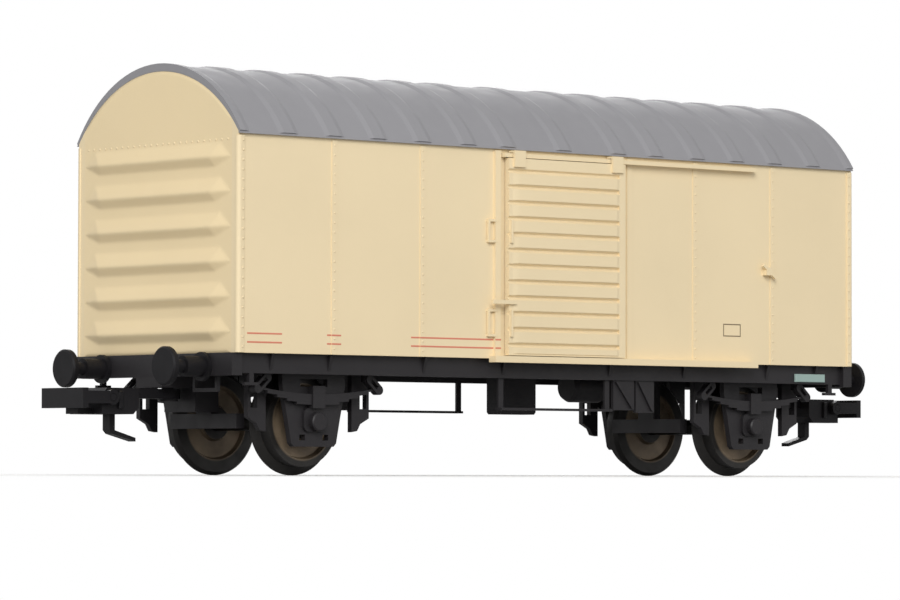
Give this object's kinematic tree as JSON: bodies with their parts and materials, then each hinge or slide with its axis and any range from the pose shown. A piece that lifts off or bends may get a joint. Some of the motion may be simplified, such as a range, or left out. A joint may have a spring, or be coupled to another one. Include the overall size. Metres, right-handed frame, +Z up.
{
  "type": "model railway boxcar",
  "caption": "H0 scale two-axle covered goods wagon: cream body with ribbed ends, arched grey roof, sliding doors, black underframe, buffers and loop couplings.",
  "frame": {"origin": "middle of the wagon, on the level of the wheel flanges' lowest points, 1.0 mm below the rail head", "axes": "+X along the wagon, +Y across it, +Z up; one door opens towards +X on the -Y side, the other towards -X on the +Y side"},
  "size_m": [0.1316, 0.0348, 0.05],
  "materials": {
    "cream_panel": "moulded cream plastic, satin",
    "cream_door": "moulded cream plastic, satin",
    "grey_roof": "matt grey plastic",
    "black_underframe": "matt black plastic",
    "black_buffer": "matt black plastic",
    "black_coupling": "black plastic, slightly glossy",
    "dark_wheel": "blackened metal with a brown cast",
    "dark_axle": "blackened steel",
    "steel_weight": "plain steel plate"
  },
  "bodies": {
    "wagon": {"air_box": "black_underframe", "axle_guard_far_left": "black_underframe", "axle_guard_far_right": "black_underframe", "axle_guard_near_left": "black_underframe", "axle_guard_near_right": "black_underframe", "brake_beams_left": "black_underframe", "brake_beams_right": "black_underframe", "brake_cylinder": "black_underframe", "brake_shoes_left": "black_underframe", "brake_shoes_right": "black_underframe", "buffer_far_left": "black_buffer", "buffer_far_right": "black_buffer", "buffer_near_left": "black_buffer", "buffer_near_right": "black_buffer", "changeover_plates_far": "black_underframe", "changeover_plates_near": "black_underframe", "coupling_pocket_left": "black_underframe", "coupling_pocket_right": "black_underframe", "door_rails_far": "cream_panel", "door_rails_near": "cream_panel", "door_step_board_far": "black_underframe", "door_step_board_near": "black_underframe", "door_step_posts_far": "black_underframe", "door_step_posts_near": "black_underframe", "end_wall_left": "cream_panel", "end_wall_right": "cream_panel", "floor": "black_underframe", "headstock_left": "black_underframe", "headstock_right": "black_underframe", "leaf_spring_far_left": "black_underframe", "leaf_spring_far_right": "black_underframe", "leaf_spring_near_left": "black_underframe", "leaf_spring_near_right": "black_underframe", "roof": "grey_roof", "shunter_step_left": "black_underframe", "shunter_step_right": "black_underframe", "side_wall_far": "cream_panel", "side_wall_near": "cream_panel", "solebar_far": "black_underframe", "solebar_near": "black_underframe", "weight": "steel_weight"},
    "door_near": {"door_near": "cream_door"},
    "door_far": {"door_far": "cream_door"},
    "wheelset_left": {"axle_left": "dark_axle", "wheel_far_left": "dark_wheel", "wheel_near_left": "dark_wheel"},
    "wheelset_right": {"axle_right": "dark_axle", "wheel_far_right": "dark_wheel", "wheel_near_right": "dark_wheel"},
    "coupling_left": {"coupling_head_left": "black_coupling"},
    "coupling_right": {"coupling_head_right": "black_coupling"},
    "bow_left": {"coupling_bow_left": "black_coupling"},
    "bow_right": {"coupling_bow_right": "black_coupling"}
  },
  "joints": [
    {"name": "door_near_slide", "type": "slide", "parent": "wagon", "child": "door_near", "axis": [1, 0, 0], "range_m": [0, 0.023]},
    {"name": "door_far_slide", "type": "slide", "parent": "wagon", "child": "door_far", "axis": [-1, 0, 0], "range_m": [0, 0.023]},
    {"name": "wheelset_left_spin", "type": "hinge", "parent": "wagon", "child": "wheelset_left", "pos_m": [-0.037, 0, 0.0065], "axis": [0, 1, 0], "continuous": true},
    {"name": "wheelset_right_spin", "type": "hinge", "parent": "wagon", "child": "wheelset_right", "pos_m": [0.037, 0, 0.0065], "axis": [0, 1, 0], "continuous": true},
    {"name": "coupling_left_swing", "type": "hinge", "parent": "wagon", "child": "coupling_left", "pos_m": [-0.05, 0, 0.00985], "axis": [0, 0, 1], "range_deg": [-10, 10]},
    {"name": "coupling_right_swing", "type": "hinge", "parent": "wagon", "child": "coupling_right", "pos_m": [0.05, 0, 0.00985], "axis": [0, 0, 1], "range_deg": [-10, 10]},
    {"name": "bow_left_lift", "type": "hinge", "parent": "coupling_left", "child": "bow_left", "pos_m": [-0.0613, 0, 0.0093], "axis": [0, 1, 0], "range_deg": [0, 25]},
    {"name": "bow_right_lift", "type": "hinge", "parent": "coupling_right", "child": "bow_right", "pos_m": [0.0613, 0, 0.0093], "axis": [0, -1, 0], "range_deg": [0, 25]}
  ]
}
